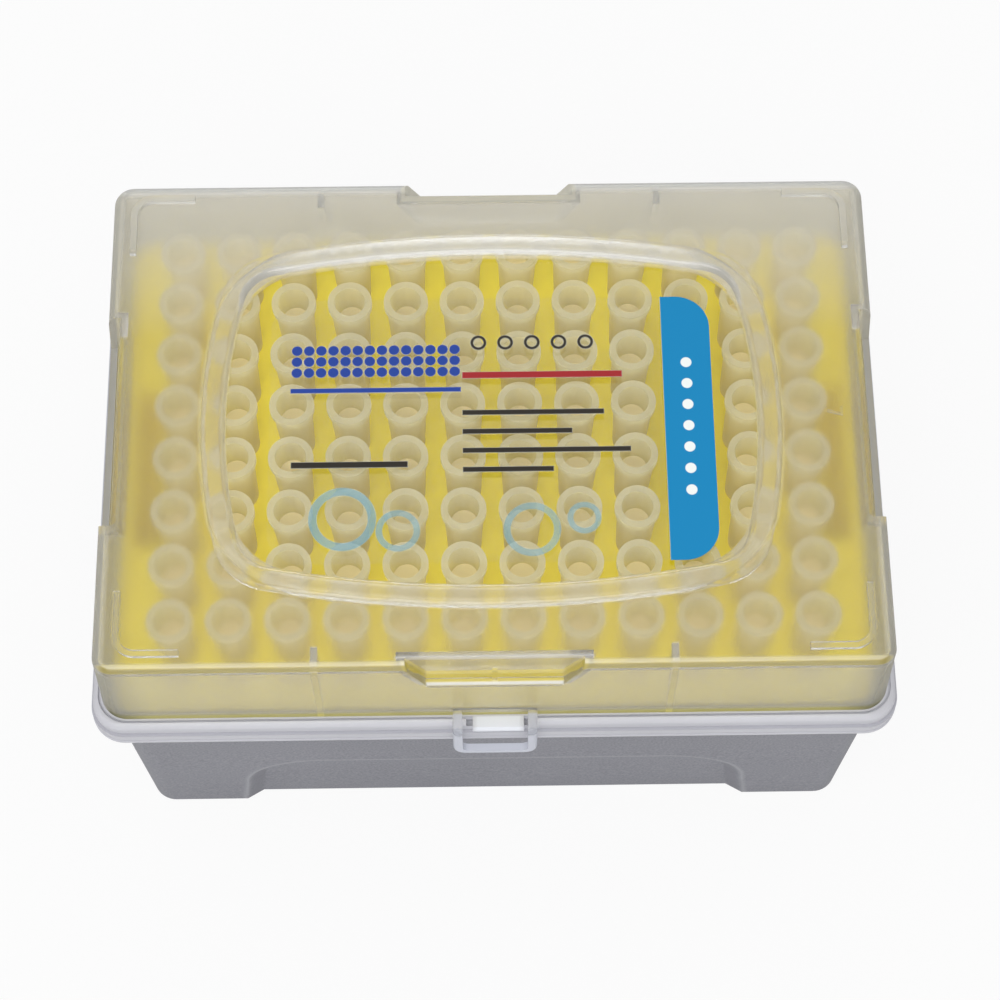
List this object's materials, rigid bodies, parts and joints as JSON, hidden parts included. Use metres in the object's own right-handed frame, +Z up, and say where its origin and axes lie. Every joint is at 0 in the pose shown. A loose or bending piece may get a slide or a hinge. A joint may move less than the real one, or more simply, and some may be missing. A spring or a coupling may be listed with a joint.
{
  "type": "pipette tip box",
  "caption": "Hinged box of filter pipette tips: clear lid with latch loop over a seated rack in a deep base.",
  "frame": {"origin": "middle of the tip grid, on the plane the feet stand on", "axes": "+Z up, -Y towards the latch, +X to the right seen from the latch side"},
  "size_m": [0.1272, 0.094, 0.072],
  "materials": {
    "base_plastic": "satin grey moulding",
    "rack_plastic": "yellow moulding",
    "lid_plastic": "translucent natural moulding, clear window",
    "tip_plastic": "translucent natural moulding",
    "filter_fibre": "porous white",
    "label_print": "printed clear film"
  },
  "bodies": {
    "box": {"base": "base_plastic", "rack": "rack_plastic", "tips_column_01": "tip_plastic", "tips_column_02": "tip_plastic", "tips_column_03": "tip_plastic", "tips_column_04": "tip_plastic", "tips_column_05": "tip_plastic", "tips_column_06": "tip_plastic", "tips_column_07": "tip_plastic", "tips_column_08": "tip_plastic", "tips_column_09": "tip_plastic", "tips_column_10": "tip_plastic", "tips_column_11": "tip_plastic", "tips_column_12": "tip_plastic", "filters_column_01": "filter_fibre", "filters_column_02": "filter_fibre", "filters_column_03": "filter_fibre", "filters_column_04": "filter_fibre", "filters_column_05": "filter_fibre", "filters_column_06": "filter_fibre", "filters_column_07": "filter_fibre", "filters_column_08": "filter_fibre", "filters_column_09": "filter_fibre", "filters_column_10": "filter_fibre", "filters_column_11": "filter_fibre", "filters_column_12": "filter_fibre"},
    "lid": {"lid": "lid_plastic", "label_film": "label_print"}
  },
  "joints": [
    {"name": "lid_hinge", "type": "hinge", "parent": "box", "child": "lid", "pos_m": [0, 0.0453, 0.0542], "axis": [-1, 0, 0], "range_deg": [0, 110]}
  ]
}
